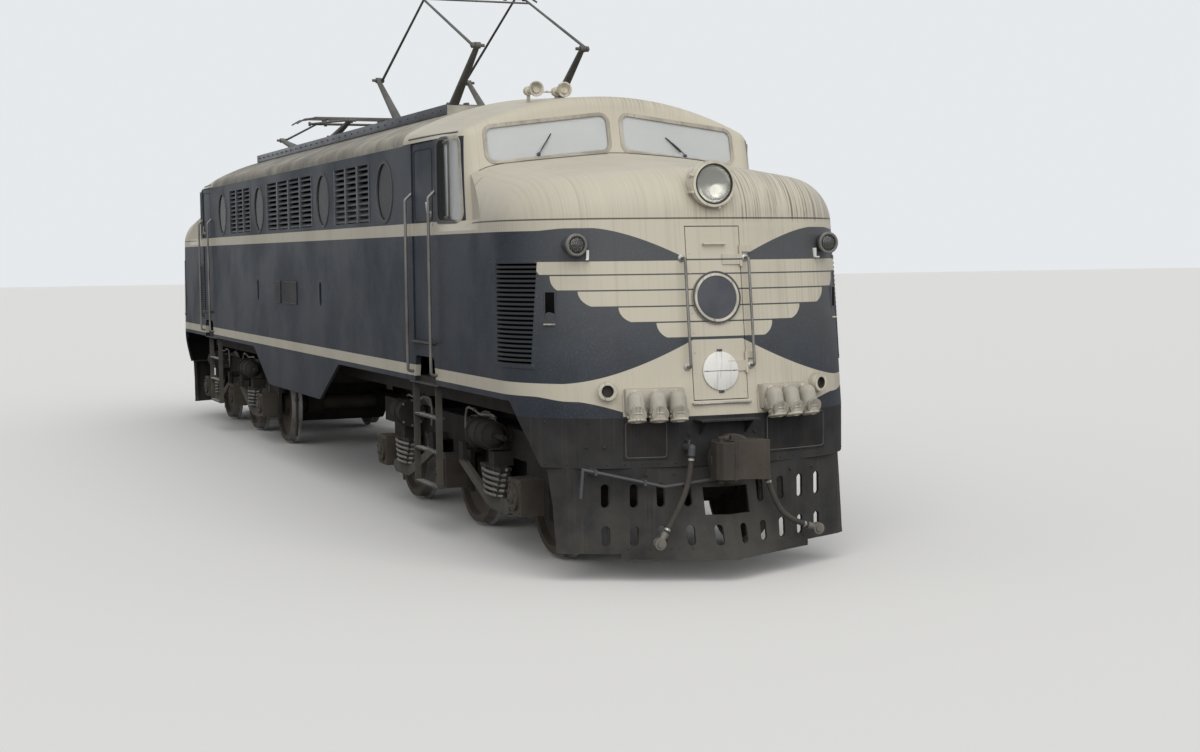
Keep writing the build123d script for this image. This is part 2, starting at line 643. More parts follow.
def screen_cuts(grow):
    """Through-cuts of both windscreens, grown by the seal's width."""
    inner = SCREEN_INNER_Y - grow
    outer = SCREEN_OUTER_Y + grow
    low = SCREEN_SILL_Z - grow
    top = SCREEN_TOP_Z + grow
    face = make_face(Polyline((inner, low), (outer, low - SCREEN_SILL_DROP), (outer, top - SCREEN_TOP_DROP),
                              (inner, top), close=True))
    face = fillet(face.vertices(), WINDOW_CORNER + grow)
    plane = Plane(origin=(CAB_TAPER_X, 0, 0), x_dir=(0, 1, 0), z_dir=(1, 0, 0))
    cut = extrude(plane * face, amount=CAB_FRONT_LOW_X - CAB_TAPER_X + 100)
    return both_sides(cut)


def door_box(shrink, side):
    """Space of one cab doorway through the side wall."""
    return block(DOOR_REAR_X + shrink, DOOR_FRONT_X - shrink, side * (BODY_HALF_W - 3 * SIDE_WALL),
                 side * (BODY_HALF_W + SIDE_WALL), DOOR_SILL_Z + shrink, DOOR_TOP_Z - shrink)


def fixed_knuckle(side, z):
    """The jamb's half of a cab door hinge, just above the leaf's barrel."""
    low = z + KNUCKLE_HEIGHT / 2 + FIT
    high = low + 60
    inner = BODY_HALF_W - SIDE_WALL
    part = rod((DOOR_AXIS_X, DOOR_AXIS_Y * side, low), (DOOR_AXIS_X, DOOR_AXIS_Y * side, high), KNUCKLE_RADIUS)
    near = DOOR_AXIS_Y - KNUCKLE_RADIUS + 0.5
    part += block(DOOR_REAR_X - 30, DOOR_AXIS_X, near * side, (inner - 1) * side, low, high)
    part += block(DOOR_REAR_X - 30, DOOR_REAR_X - 2, near * side, (inner + 2) * side, low, high)
    return part


def step_notch():
    """Arched step notches in both walls below the cab doors, as one cut."""
    low = BODY_LOW_Z - 10
    face = make_face(Polyline((DOOR_REAR_X, low), (DOOR_REAR_X + 60, STEP_NOTCH_TOP_Z),
                              (DOOR_FRONT_X - 60, STEP_NOTCH_TOP_Z), (DOOR_FRONT_X, low), close=True))
    face = fillet(face.vertices().group_by(Axis.Y)[-1], 50)
    return extrude(Plane.XZ * face, amount=BODY_HALF_W + 100, both=True)


@cached
def cab_shell():
    """Cab walls, roof, floor and rear bulkhead with every opening cut."""
    room = cab_solid(SIDE_WALL) & block(CAB_REAR_X + SIDE_WALL, NOSE_JOINT_X, -2000, 2000, FLOOR_Z, 5000)
    half = BODY_HALF_W - SIDE_WALL
    under = block(CAB_REAR_X - 1, NOSE_JOINT_X + 1, -half, half, BODY_LOW_Z - 1, FLOOR_Z - FLOOR_THICKNESS)
    cuts = [room, under, *window_cuts(SEAL_WIDTH), *screen_cuts(SEAL_WIDTH), door_box(0, 1), door_box(0, -1)]
    cuts += [step_notch(), block(SIDE_GRILLE_REAR_X, SIDE_GRILLE_FRONT_X, half, BODY_HALF_W + 10,
                                 SIDE_GRILLE_LOW_Z, SIDE_GRILLE_TOP_Z)]
    shell = cab_solid(0) - cuts
    return shell + [fixed_knuckle(side, z) for side in (1, -1) for z in HINGE_ZS]


def side_grille():
    """Slatted panel in the left wall beside the cab door."""
    inner = BODY_HALF_W - SIDE_WALL
    panel = block(SIDE_GRILLE_REAR_X, SIDE_GRILLE_FRONT_X, inner, BODY_HALF_W + 4, SIDE_GRILLE_LOW_Z, SIDE_GRILLE_TOP_Z)
    pitch = (SIDE_GRILLE_TOP_Z - SIDE_GRILLE_LOW_Z - 2 * GRILLE_FRAME) / GRILLE_SLATS
    slots = []
    for i in range(GRILLE_SLATS):
        low = SIDE_GRILLE_LOW_Z + GRILLE_FRAME + i * pitch
        slots.append(block(SIDE_GRILLE_REAR_X + GRILLE_FRAME, SIDE_GRILLE_FRONT_X - GRILLE_FRAME, inner + 15,
                           BODY_HALF_W + 10, low + pitch * 0.25, low + pitch * 0.75))
    return panel - slots


def cab_door(side):
    """Door leaf cut from the cab's own wall, with a hinge barrel at its rear edge."""
    leaf = (cab_solid(DOOR_RECESS) - cab_solid(SIDE_WALL)) & door_box(DOOR_GAP, side)
    for z in HINGE_ZS:
        leaf += rod((DOOR_AXIS_X, DOOR_AXIS_Y * side, z - KNUCKLE_HEIGHT / 2),
                    (DOOR_AXIS_X, DOOR_AXIS_Y * side, z + KNUCKLE_HEIGHT / 2), KNUCKLE_RADIUS)
        leaf += block(DOOR_AXIS_X, DOOR_AXIS_X + 60, DOOR_AXIS_Y * side, (BODY_HALF_W - SIDE_WALL + 2) * side,
                      z - 50, z + 50)
    return leaf


# Nose pieces

NOSE_LEAN = (NOSE_LOW_X - NOSE_TOP_X) / (NOSE_TOP_Z - NOSE_LOW_Z)


def nose_spot(y, z):
    """X of the nose's front face at a place, and the face's turn away from straight ahead."""
    front = NOSE_LOW_X - NOSE_LEAN * (z - NOSE_LOW_Z)
    corner_y = BODY_HALF_W - NOSE_CORNER_RADIUS
    reach = NOSE_FRONT_RADIUS - NOSE_CORNER_RADIUS
    if abs(y) * reach <= corner_y * NOSE_FRONT_RADIUS:
        x = front - NOSE_FRONT_RADIUS + sqrt(NOSE_FRONT_RADIUS ** 2 - y ** 2)
        return x, atan2(y, sqrt(NOSE_FRONT_RADIUS ** 2 - y ** 2))
    over = (abs(y) - corner_y) * (1 if y > 0 else -1)
    ahead = sqrt(NOSE_CORNER_RADIUS ** 2 - over ** 2)
    return front - NOSE_FRONT_RADIUS + sqrt(reach ** 2 - corner_y ** 2) + ahead, atan2(over, ahead)


def nose_door_box(shrink):
    half = NOSE_DOOR_HALF_W - shrink
    return block(NOSE_JOINT_X + 500, NOSE_LOW_X + 100, -half, half, NOSE_DOOR_SILL_Z + shrink,
                 NOSE_DOOR_TOP_Z - shrink)


def nose_hinge_point(z):
    """A point of the tilted hinge line of the nose door."""
    return nose_spot(NOSE_DOOR_HALF_W, z)[0] + NOSE_HINGE_PROUD, NOSE_DOOR_HALF_W - DOOR_GAP, z


def nose_lower_cut():
    """The stretch of the nose side and pilot that stays open above the bogie."""
    edge = Polyline((7000, RAIL_Z + 1000), (7000, BODY_LOW_Z), (7800, BODY_LOW_Z), (7900, NOSE_LOW_Z),
                    (8040, RAIL_Z + 1050), (8170, RAIL_Z + 820), (8230, RAIL_Z + 570), (8280, RAIL_Z + 240),
                    (8290, 0), (7000, 0), close=True)
    return extrude(Plane.XZ * make_face(edge), amount=2000, both=True)


def grille_band(grow):
    """The stretch of Y that holds one side's grille."""
    return block(GRILLE_REAR_X - grow, GRILLE_FRONT_X + grow, BODY_HALF_W - 450, BODY_HALF_W + 50,
                 GRILLE_LOW_Z - grow, GRILLE_TOP_Z + grow)


@cached
def nose_shell():
    """Nose skin with its bulkhead, door opening and grille openings."""
    shell = nose_solid(0) - nose_solid(NOSE_WALL)
    shell += nose_solid(0) & block(NOSE_JOINT_X, NOSE_JOINT_X + NOSE_WALL, -2000, 2000, FLOOR_Z, 5000)
    shell -= [nose_lower_cut(), nose_door_box(0), *both_sides(grille_band(0))]
    for z in NOSE_HINGE_ZS:
        x, y, low = nose_hinge_point(z + 55 + FIT)
        shell += rod((x, y, low), nose_hinge_point(z + 110), NOSE_HINGE_RADIUS)
        shell += block(x - 14, x, y, y + 14, z + 57, z + 108)
        shell += block(x - 34, x, y + 12, y + 90, z + 57, z + 108)
    return shell


def nose_grille():
    """Slatted panel in the nose's left corner: a frame with rows of curved slats."""
    skin = (nose_solid(-GRILLE_PROUD) - nose_solid(NOSE_WALL / 2)) & grille_band(0)
    pitch = (GRILLE_TOP_Z - GRILLE_LOW_Z - 2 * GRILLE_FRAME) / GRILLE_SLATS
    slots = []
    for i in range(GRILLE_SLATS):
        low = GRILLE_LOW_Z + GRILLE_FRAME + i * pitch
        slots.append(block(GRILLE_REAR_X + GRILLE_FRAME, GRILLE_FRONT_X - GRILLE_FRAME, BODY_HALF_W - 450,
                           BODY_HALF_W + 50, low + pitch * 0.25, low + pitch * 0.75))
    return skin - slots


def door_disc(z, radius, proud):
    """Round plate on the nose door, leaning with the door."""
    way = (cos(atan(NOSE_LEAN)), 0, sin(atan(NOSE_LEAN)))
    plane = Plane(origin=(nose_spot(0, z)[0], 0, z), x_dir=(0, 1, 0), z_dir=way)
    return extrude(plane.offset(-DISC_SEAT) * Circle(radius), amount=DISC_SEAT + proud)


def nose_door(discs):
    """Gangway door leaf in the nose's own skin with two strap hinges and a handle."""
    leaf = (nose_solid(0) - nose_solid(NOSE_WALL)) & nose_door_box(DOOR_GAP)
    for z in NOSE_HINGE_ZS:
        x, y, low = nose_hinge_point(z - 55)
        leaf += rod((x, y, low), nose_hinge_point(z + 55), NOSE_HINGE_RADIUS)
        leaf += block(x - 30, x - 4, y - 160, y, z - 40, z + 40)
    z = NOSE_HANDLE_Z
    grip_x = nose_spot(0, z)[0] + 30
    for y in (-NOSE_HANDLE_HALF_W, NOSE_HANDLE_HALF_W):
        leaf += rod((grip_x - 50, y, z), (grip_x, y, z), 8)
    leaf += rod((grip_x - 6, -NOSE_HANDLE_HALF_W - 10, z), (grip_x - 6, NOSE_HANDLE_HALF_W + 10, z), 9)
    for z, radius, proud in discs:
        leaf += door_disc(z, radius, proud)
    return leaf


# Headstock and pilot

def pilot_form(inset):
    """Faceted pilot from the headstock down to the lip, as a full solid set in by a plate."""
    def plan(z, column):
        half = [(row[column] - inset, row[0] - (inset if row[0] > 0 else 0)) for row in PILOT_FACETS]
        rear = [(NOSE_JOINT_X, PILOT_FACETS[-1][0] - inset)]
        points = half + rear
        points += [(px, -py) for px, py in reversed(points) if py > 0]
        return (Pos(0, 0, z) * make_face(Polyline(*points, close=True))).face()
    return loft([plan(HEADSTOCK_LOW_Z, 1), plan(PILOT_LIP_Z, 2)], ruled=True)


def draft_box(grow):
    """Box under the deck that holds the coupler's shank."""
    half = DRAFT_BOX_HALF_W + grow
    return block(DRAFT_BOX_X - grow, DRAFT_BOX_X + DRAFT_BOX_LENGTH, -half, half, DRAFT_BOX_LOW_Z, BODY_LOW_Z)


def headstock_form(inset):
    """Band between the nose and the pilot, in the nose's own plan."""
    slab = nose_solid(inset) & block(NOSE_JOINT_X, NOSE_LOW_X + 100, -2000, 2000, NOSE_LOW_Z, NOSE_LOW_Z + 20)
    lowest = slab.faces().sort_by(Axis.Z)[0]
    return extrude(lowest, amount=NOSE_LOW_Z - HEADSTOCK_LOW_Z, dir=(0, 0, -1))


def slot_face(half, radius):
    """Upright slot with round ends that stand a hair wider than its straight sides."""
    reach = half - radius
    face = Rectangle(2 * radius - SLOT_NECK, 2 * reach)
    return face + [Pos(0, end) * Circle(radius) for end in (reach, -reach)]


@cached
def pilot():
    """Headstock band and slotted, faceted pilot plate with its coupler opening and step plate."""
    shell = (headstock_form(0) - headstock_form(PILOT_PLATE)) + (pilot_form(0) - pilot_form(PILOT_PLATE))
    shelf = block(NOSE_JOINT_X + 900, NOSE_LOW_X + 400, -2000, 2000, HEADSTOCK_LOW_Z - 12, HEADSTOCK_LOW_Z + 12)
    shelf -= draft_box(FIT)
    shell += [shelf & pilot_form(0), shelf & headstock_form(0)]
    cuts = [nose_lower_cut()]
    for y in (PILOT_LIP_HALF_W + 400, -PILOT_LIP_HALF_W - 400):
        cuts.append(block(NOSE_JOINT_X, 9000, y - 400, y + 400, 0, PILOT_LOW_Z))
    plane = Plane(origin=(NOSE_JOINT_X + 900, 0, 0), x_dir=(0, 1, 0), z_dir=(1, 0, 0))
    for z, half, ys in PILOT_SLOTS:
        for y in [*ys, *[-y for y in ys]]:
            cuts.append(extrude(plane * Pos(y, z) * slot_face(half, PILOT_SLOT_RADIUS), amount=1000))
    cuts.append(block(8350, 9000, -190, 190, RAIL_Z + 480, RAIL_Z + 690))
    cuts.append(block(DRAFT_BOX_X, 9000, -110, 110, COUPLER_Z - 120, COUPLER_Z + 120))
    shell -= cuts
    x = NOSE_LOW_X - 30
    step_z = RAIL_Z + 1205
    shell += block(x, x + 190, -250, 250, step_z, step_z + 12)
    for y in (-200, 192):
        gusset = Polyline((x, step_z), (x + 180, step_z), (x, step_z - 130), close=True)
        shell += extrude(Plane(origin=(0, y, 0), x_dir=(1, 0, 0), z_dir=(0, -1, 0)) * make_face(gusset), amount=-8)
    return shell


def coupler():
    """Draft shank, knuckle head and the pocket it slides in."""
    half_w = COUPLER_SHANK_HALF_W
    shank = block(DRAFT_BOX_X + DRAFT_BOX_LENGTH, COUPLER_FACE_X - 190, -half_w, half_w, COUPLER_Z - 80, COUPLER_Z + 80)
    half = COUPLER_HEAD_HEIGHT / 2
    x = COUPLER_FACE_X
    horn = make_face(Polyline((x - 260, -140), (x - 260, 140), (x - 150, 215), (x - 20, 238), (x, 190),
                              (x - 45, 120), (x - 75, 60), (x - 70, -10), (x - 30, -35), (x - 30, -60),
                              (x - 150, -75), close=True))
    head = extrude(Pos(0, 0, COUPLER_Z - half) * horn, amount=2 * half)
    knuckle = make_face(Polyline((x - 170, -60), (x - 30, -50), (x, -75), (x, -160), (x - 60, -195),
                                 (x - 190, -185), (x - 250, -130), close=True))
    knuckle = fillet(knuckle.vertices().sort_by_distance((x, -160))[0], 30)
    head += extrude(Pos(0, 0, COUPLER_Z - 140) * knuckle, amount=280)
    head += rod((x - 110, -130, COUPLER_Z - half - 25), (x - 110, -130, COUPLER_Z + half + 20), 26)
    head += block(x - 230, x - 120, -40, 40, COUPLER_Z + half - 5, COUPLER_Z + half + 35)
    return shank + head


def release_lever():
    """Uncoupling lever ahead of the headstock's right half, with its brackets and handle."""
    outer = Vector(*LEVER_OUTER)
    inner = Vector(*LEVER_INNER)
    bar = rod(outer, inner, LEVER_RADIUS) + Pos(*LEVER_OUTER) * Sphere(LEVER_RADIUS)
    bar += Pos(*LEVER_INNER) * Sphere(LEVER_RADIUS)
    bar += rod(outer, outer + Vector(0, -20, -220), LEVER_RADIUS)
    bar += rod(inner, (inner.X, -COUPLER_SHANK_HALF_W, inner.Z + 40), LEVER_RADIUS)
    for share in (0.15, 0.75):
        spot = outer + (inner - outer) * share
        bar += block(spot.X - 220, spot.X + 20, spot.Y - 10, spot.Y + 10, spot.Z - 22, spot.Z + 22)
    return bar - (headstock_form(0) + pilot_form(0))


# Body side and roof

@cached
def body_form(off):
    """The section between the cabs, extruded, set in by a wall."""
    half_w = BODY_HALF_W - off
    crown = ROOF_CROWN_Z - off
    face = arch(-CAB_REAR_X, half_w, BODY_LOW_Z, crown, ROOF_ARC_RADIUS)
    shoulders = face.vertices().group_by(Axis.Z)[-1]
    face = fillet(shoulders, EAVES_RADIUS - off)
    return extrude(face, amount=2 * CAB_REAR_X, dir=(1, 0, 0))


@cached
def main_body():
    """Side walls and roof between the cabs in one shell."""
    return body_form(0) - body_form(SIDE_WALL)


def porthole_rod(x, radius, out_y, in_y):
    return rod((x, -out_y, PORTHOLE_Z), (x, -in_y, PORTHOLE_Z), radius)


@cached
def body_side():
    """The right side with its portholes, louvre openings, step slots and middle skirt."""
    wall = block(-CAB_REAR_X, CAB_REAR_X, -2000, -1000, BODY_LOW_Z, CANT_Z)
    side = main_body() & wall
    skirt = make_face(Polyline((-SKIRT_TOP_X, BODY_LOW_Z), (-SKIRT_LOW_X, SKIRT_LOW_Z),
                               (SKIRT_LOW_X, SKIRT_LOW_Z), (SKIRT_TOP_X, BODY_LOW_Z), close=True))
    skirt = fillet(skirt.vertices().group_by(Axis.Y)[0], 60)
    plane = Plane(origin=(0, -BODY_HALF_W, 0), x_dir=(1, 0, 0), z_dir=(0, -1, 0))
    side += extrude(plane * skirt, amount=-SKIRT_THICKNESS)
    out_y = BODY_HALF_W + 10
    in_y = BODY_HALF_W - SIDE_WALL - 10
    cuts = [porthole_rod(x, PORTHOLE_RADIUS, out_y, in_y) for x in PORTHOLE_XS]
    for x0, x1, columns in LOUVRE_PANELS:
        cuts.append(block(x0, x1, -out_y, -in_y, LOUVRE_LOW_Z, LOUVRE_TOP_Z))
    for x in STEP_SLOT_XS:
        mid = (STEP_SLOT_LOW_Z + STEP_SLOT_TOP_Z) / 2
        slot = Pos(x, mid) * SlotOverall(STEP_SLOT_TOP_Z - STEP_SLOT_LOW_Z, STEP_SLOT_WIDTH, rotation=90)
        cuts.append(extrude(plane * slot, amount=-SIDE_WALL * 0.7))
    return side - cuts


def louvre_panels():
    """Louvre panels of the right side: upright bars with sloped slats between them."""
    panels = []
    out_y = -BODY_HALF_W - SEAL_PROUD
    in_y = -BODY_HALF_W + SIDE_WALL
    for x0, x1, columns in LOUVRE_PANELS:
        pitch = (x1 - x0) / columns
        solids = []
        for i in range(columns + 1):
            x = x0 + i * pitch
            solids.append(block(max(x0, x - LOUVRE_BAR), min(x1, x + LOUVRE_BAR), out_y, in_y,
                                LOUVRE_LOW_Z, LOUVRE_TOP_Z))
        step = (LOUVRE_TOP_Z - LOUVRE_LOW_Z) / LOUVRE_ROWS
        for k in range(LOUVRE_ROWS):
            z = LOUVRE_LOW_Z + (k + 0.5) * step
            slat = Box(x1 - x0, SIDE_WALL + 4, 7)
            solids.append(Pos((x0 + x1) / 2, -BODY_HALF_W + SIDE_WALL / 2, z) * Rot(38, 0, 0) * slat)
        panels.append(fused(solids))
    return panels


def roof():
    """Roof with the long well for the current collectors, its floor plate and coamings."""
    shell = main_body() & block(-CAB_REAR_X, CAB_REAR_X, -2000, 2000, CANT_Z, 5000)
    shell -= block(-WELL_END_X, WELL_END_X, -WELL_HALF_W, WELL_HALF_W, WELL_FLOOR_Z, 5000)
    out_x = WELL_END_X + WELL_PLATE
    out_y = WELL_HALF_W + WELL_PLATE
    tub = block(-out_x, out_x, -out_y, out_y, WELL_FLOOR_Z - WELL_PLATE, COAMING_TOP_Z)
    tub -= block(-WELL_END_X, WELL_END_X, -WELL_HALF_W, WELL_HALF_W, WELL_FLOOR_Z, 5000)
    return shell + tub


def underframe():
    """Deck, solebars, bogie centres and draft boxes."""
    half = BODY_HALF_W - SIDE_WALL
    frame = block(-NOSE_JOINT_X, NOSE_JOINT_X, -half, half, BODY_LOW_Z, BODY_LOW_Z + DECK_THICKNESS)
    tip = nose_solid(NOSE_WALL) & block(NOSE_JOINT_X, DECK_END_X, -2000, 2000, BODY_LOW_Z, BODY_LOW_Z + DECK_THICKNESS)
    pieces = [frame, tip, turned(tip)]
    for y in (-1080, -450, 350, 980):
        pieces.append(block(-NOSE_JOINT_X, NOSE_JOINT_X, y, y + 100, UNDERFRAME_Z, BODY_LOW_Z))
    for x in (BOGIE_CENTRE_X, -BOGIE_CENTRE_X):
        pieces.append(block(x - 300, x + 300, -1080, 1080, UNDERFRAME_Z, BODY_LOW_Z))
    return fused([*pieces, draft_box(0), turned(draft_box(0))])


def machinery():
    """Plain block of the transformer and its gear, standing on the deck."""
    low = BODY_LOW_Z + DECK_THICKNESS
    return block(-MACHINERY_HALF_L, MACHINERY_HALF_L, -MACHINERY_HALF_W, MACHINERY_HALF_W, low, MACHINERY_TOP_Z)


# Current collectors

def knee(angle):
    a = radians(angle)
    return PAN_PIVOT_X + PAN_LOWER_LEN * cos(a), PAN_PIVOT_Z + PAN_LOWER_LEN * sin(a)


def head_height(angle):
    x, z = knee(angle)
    return z + sqrt(PAN_UPPER_LEN ** 2 - x ** 2)


def lower_arm(angle):
    """Cross shaft on the base with two stout tapered arms out to the knee pins."""
    x, z = knee(angle)
    a = radians(angle)
    start = 10.0
    root_x = PAN_PIVOT_X + start * cos(a)
    root_z = PAN_PIVOT_Z + start * sin(a)
    pieces = [rod((PAN_PIVOT_X, -PAN_ARM_Y - 62, PAN_PIVOT_Z), (PAN_PIVOT_X, PAN_ARM_Y + 62, PAN_PIVOT_Z),
                  PAN_SHAFT_RADIUS)]
    for y in (-PAN_ARM_Y, PAN_ARM_Y):
        pieces.append(rod((PAN_PIVOT_X, y - 58, PAN_PIVOT_Z), (PAN_PIVOT_X, y + 58, PAN_PIVOT_Z), 50))
        pieces.append(rod((root_x, y, root_z), (x, y, z), 50, 27))
        pieces.append(rod((x, y - 70, z), (x, y + 70, z), PAN_PIN_RADIUS))
        pieces.append(rod((x, y - 28, z), (x, y + 28, z), 32))
    return fused(pieces)


def upper_arm(angle, spread, carries_head):
    """Two thin tubes from collars on the knee pins up to the head shaft."""
    x, z = knee(angle)
    top = head_height(angle)
    length = sqrt(x ** 2 + (top - z) ** 2)
    ux = -x / length
    uz = (top - z) / length
    pieces = []
    bores = []
    for side in (-1, 1):
        y = side * (PAN_ARM_Y + spread)
        pieces.append(rod((x, y - PAN_COLLAR_HALF, z), (x, y + PAN_COLLAR_HALF, z), PAN_PIN_RADIUS + 12))
        pieces.append(rod((x + ux * 20, y, z + uz * 20), (0, y, top), 15, 12))
        bores.append(rod((x, y - 60, z), (x, y + 60, z), PAN_PIN_RADIUS + FIT))
        if not carries_head:
            # This arm's pins face the ends of the head shaft, and stop short of them
            pin_end = side * (PAN_ARM_Y - PAN_SPREAD + PAN_COLLAR_HALF + PAN_PIN_GAP)
            pin_root = y - side * PAN_COLLAR_HALF / 2
            pieces.append(rod((0, y - PAN_COLLAR_HALF, top), (0, y + PAN_COLLAR_HALF, top), PAN_PIN_RADIUS + 12))
            pieces.append(rod((0, pin_end, top), (0, pin_root, top), PAN_PIN_RADIUS))
    if carries_head:
        reach = PAN_ARM_Y + spread + PAN_COLLAR_HALF
        pieces.append(rod((0, -reach, top), (0, reach, top), PAN_PIN_RADIUS))
        return fused(pieces) - bores
    # The outer arm's two tubes are tied together below the head
    tie_x = x + (0 - x) * 0.9
    tie_z = z + (top - z) * 0.9
    reach = PAN_ARM_Y + spread
    pieces.append(rod((tie_x, -reach, tie_z), (tie_x, reach, tie_z), 10))
    return fused(pieces) - bores


def pan_head(angle):
    """Collector head: two contact strips with down-turned ends on collars round the head shaft."""
    z = head_height(angle)
    pieces = []
    bores = []
    for y in (-380.0, 380.0):
        pieces.append(rod((0, y - 16, z), (0, y + 16, z), PAN_PIN_RADIUS + 14))
        pieces.append(block(-12, 12, y - 12, y + 12, z + 20, z + 50))
        pieces.append(block(-165, 165, y - 12, y + 12, z + 44, z + 62))
        bores.append(rod((0, y - 60, z), (0, y + 60, z), PAN_PIN_RADIUS + FIT))
    for x in (-150.0, 150.0):
        pieces.append(block(x - 28, x + 28, -560, 560, z + 60, z + 84))
        for side in (-1, 1):
            pieces.append(rod((x, side * 550, z + 71), (x, side * 700, z + 50), 10))
            pieces.append(rod((x, side * 695, z + 51), (x, side * 800, z - 10), 10))
    return fused(pieces) - bores


def pan_base():
    """Base frame with bearing brackets for the two cross shafts."""
    top = PAN_PIVOT_Z - PAN_SHAFT_RADIUS - 12
    low = WELL_FLOOR_Z + INSULATOR_HEIGHT
    end = PAN_PIVOT_X + 60
    pieces = []
    bores = []
    for y in (-PAN_BEAM_Y, PAN_BEAM_Y):
        pieces.append(block(-end, end, y - PAN_BEAM / 2, y + PAN_BEAM / 2, low, low + PAN_BEAM))
        for x in (-PAN_PIVOT_X, PAN_PIVOT_X):
            pieces.append(block(x - 45, x + 45, y - 18, y + 18, low + PAN_BEAM - 1, PAN_PIVOT_Z + 48))
            bores.append(rod((x, y - 60, PAN_PIVOT_Z), (x, y + 60, PAN_PIVOT_Z), PAN_SHAFT_RADIUS + FIT))
    for x in (-INSULATOR_X, 0, INSULATOR_X):
        pieces.append(block(x - PAN_BEAM / 2, x + PAN_BEAM / 2, -PAN_BEAM_Y, PAN_BEAM_Y, low, low + PAN_BEAM))
    return fused(pieces) - bores


def insulator():
    """Ribbed post between the well floor and the base frame."""
    sheds = 3
    pitch = INSULATOR_HEIGHT / sheds
    points = [(0, 0)]
    for i in range(sheds):
        z = i * pitch
        points += [(42, z), (42, z + pitch * 0.3), (68, z + pitch * 0.45), (68, z + pitch * 0.6),
                   (42, z + pitch * 0.9)]
    points += [(42, INSULATOR_HEIGHT), (0, INSULATOR_HEIGHT)]
    face = make_face(Polyline(*points, close=True))
    return Pos(0, 0, WELL_FLOOR_Z) * revolve(Plane.XZ * face, axis=Axis.Z, revolution_arc=360)


# Glass and seals

def cab_glass():
    """Windscreens and side windows of one cab, as curved layers of the cab's own form."""
    layer = cab_solid(GLASS_FRONT) - cab_solid(GLASS_BACK)
    return [layer & cut for cut in screen_cuts(0) + window_cuts(0)]


def cab_seals():
    """Rubber frames round the windscreens and side windows of one cab."""
    layer = cab_solid(-SEAL_PROUD) - cab_solid(SEAL_DEPTH)
    outers = screen_cuts(SEAL_WIDTH) + window_cuts(SEAL_WIDTH)
    inners = screen_cuts(0) + window_cuts(0)
    return [(layer & outer) - inner for outer, inner in zip(outers, inners)]


def portholes():
    """Glass discs and seal rings of the right side's portholes."""
    out_y = BODY_HALF_W + SEAL_PROUD
    glass = []
    rings = []
    hole = PORTHOLE_RADIUS - SEAL_WIDTH
    for x in PORTHOLE_XS:
        glass.append(porthole_rod(x, hole - FIT, BODY_HALF_W - GLASS_FRONT, BODY_HALF_W - GLASS_BACK))
        ring = porthole_rod(x, PORTHOLE_RADIUS, out_y, BODY_HALF_W - SEAL_DEPTH)
        rings.append(ring - porthole_rod(x, hole, out_y + 1, 0))
    return glass, rings


# Lamps and end fittings of the front end

def headlight():
    """Faired headlight body on the nose top: a teardrop, a rim and the dish behind the lens."""
    z = HEADLIGHT_Z
    x = HEADLIGHT_FACE_X
    r = HEADLIGHT_RADIUS
    back = x - HEADLIGHT_DEPTH
    body = rod((x - HEADLIGHT_TAIL, 0, z + 60), (back + 60, 0, z), r * 0.4, r - 12)
    body -= rod((back, 0, z), (x, 0, z), r)
    rim = rod((back, 0, z), (x, 0, z), r) - rod((back + 12, 0, z), (x, 0, z), r - RIM_WIDTH)
    lamp = (body + rim) - nose_solid(0)
    return lamp.solids().sort_by(SortBy.VOLUME)[-1]


def headlight_lens():
    x = HEADLIGHT_FACE_X
    return rod((x - 26, 0, HEADLIGHT_Z), (x - 12, 0, HEADLIGHT_Z), HEADLIGHT_RADIUS - RIM_WIDTH - FIT)


def marker_lamp(side):
    """Round marker lamp with a faired body on the nose corner."""
    x = MARKER_FACE_X
    y = side * MARKER_Y
    lamp = rod((x - 300, y, MARKER_Z), (x - 15, y, MARKER_Z), MARKER_RADIUS - 30, MARKER_RADIUS - 12)
    lamp += rod((x - 26, y, MARKER_Z), (x, y, MARKER_Z), MARKER_RADIUS)
    lamp -= [rod((x - 16, y, MARKER_Z), (x, y, MARKER_Z), MARKER_RADIUS - 20), nose_solid(0)]
    return lamp.solids().sort_by(SortBy.VOLUME)[-1]


def marker_lens(side):
    x = MARKER_FACE_X
    y = side * MARKER_Y
    return rod((x - 16, y, MARKER_Z), (x - 5, y, MARKER_Z), MARKER_RADIUS - 20 - FIT)


def front_plane(y, z):
    """Plane on the nose's outside, facing out."""
    x, angle = nose_spot(y, z)
    return Plane(origin=(x, y, z), x_dir=(-sin(angle), cos(angle), 0), z_dir=(cos(angle), sin(angle), 0))


def tail_socket(side):
    """Ring socket for a tail lamp."""
    plane = front_plane(side * TAIL_Y, TAIL_Z)
    ring = extrude(plane.offset(-60) * Circle(TAIL_RADIUS), amount=60 + TAIL_PROUD)
    ring -= extrude(plane.offset(TAIL_PROUD - 40) * Circle(TAIL_RADIUS - 26), amount=50)
    ring -= nose_solid(0)
    return ring.solids().sort_by(SortBy.VOLUME)[-1]


def jumper_sockets(side):
    """Three jumper sockets with drooping covers on one backing plate."""
    pieces = []
    for y in SOCKET_YS:
        plane = front_plane(side * y, SOCKET_Z)
        spot = plane.origin
        way = plane.z_dir
        tip = spot + way * SOCKET_REACH - Vector(0, 0, 45)
        pieces.append(rod(spot - way * 60, tip, SOCKET_RADIUS + 6, SOCKET_RADIUS - 6))
        pieces.append(rod(tip - way * 6, tip + way * 20 - Vector(0, 0, 7), SOCKET_RADIUS))
        pieces.append(rod(spot + Vector(0, 0, 55), tip + Vector(0, 0, 50), 16))
    box = block(8000, 9000, side * (SOCKET_YS[0] - 85), side * (SOCKET_YS[-1] + 85), SOCKET_Z - 80, SOCKET_Z + 95)
    pieces.append((nose_solid(-8) - nose_solid(0)) & box)
    return fused(pieces) - nose_solid(0)


# Handrails, steps, horns and plates

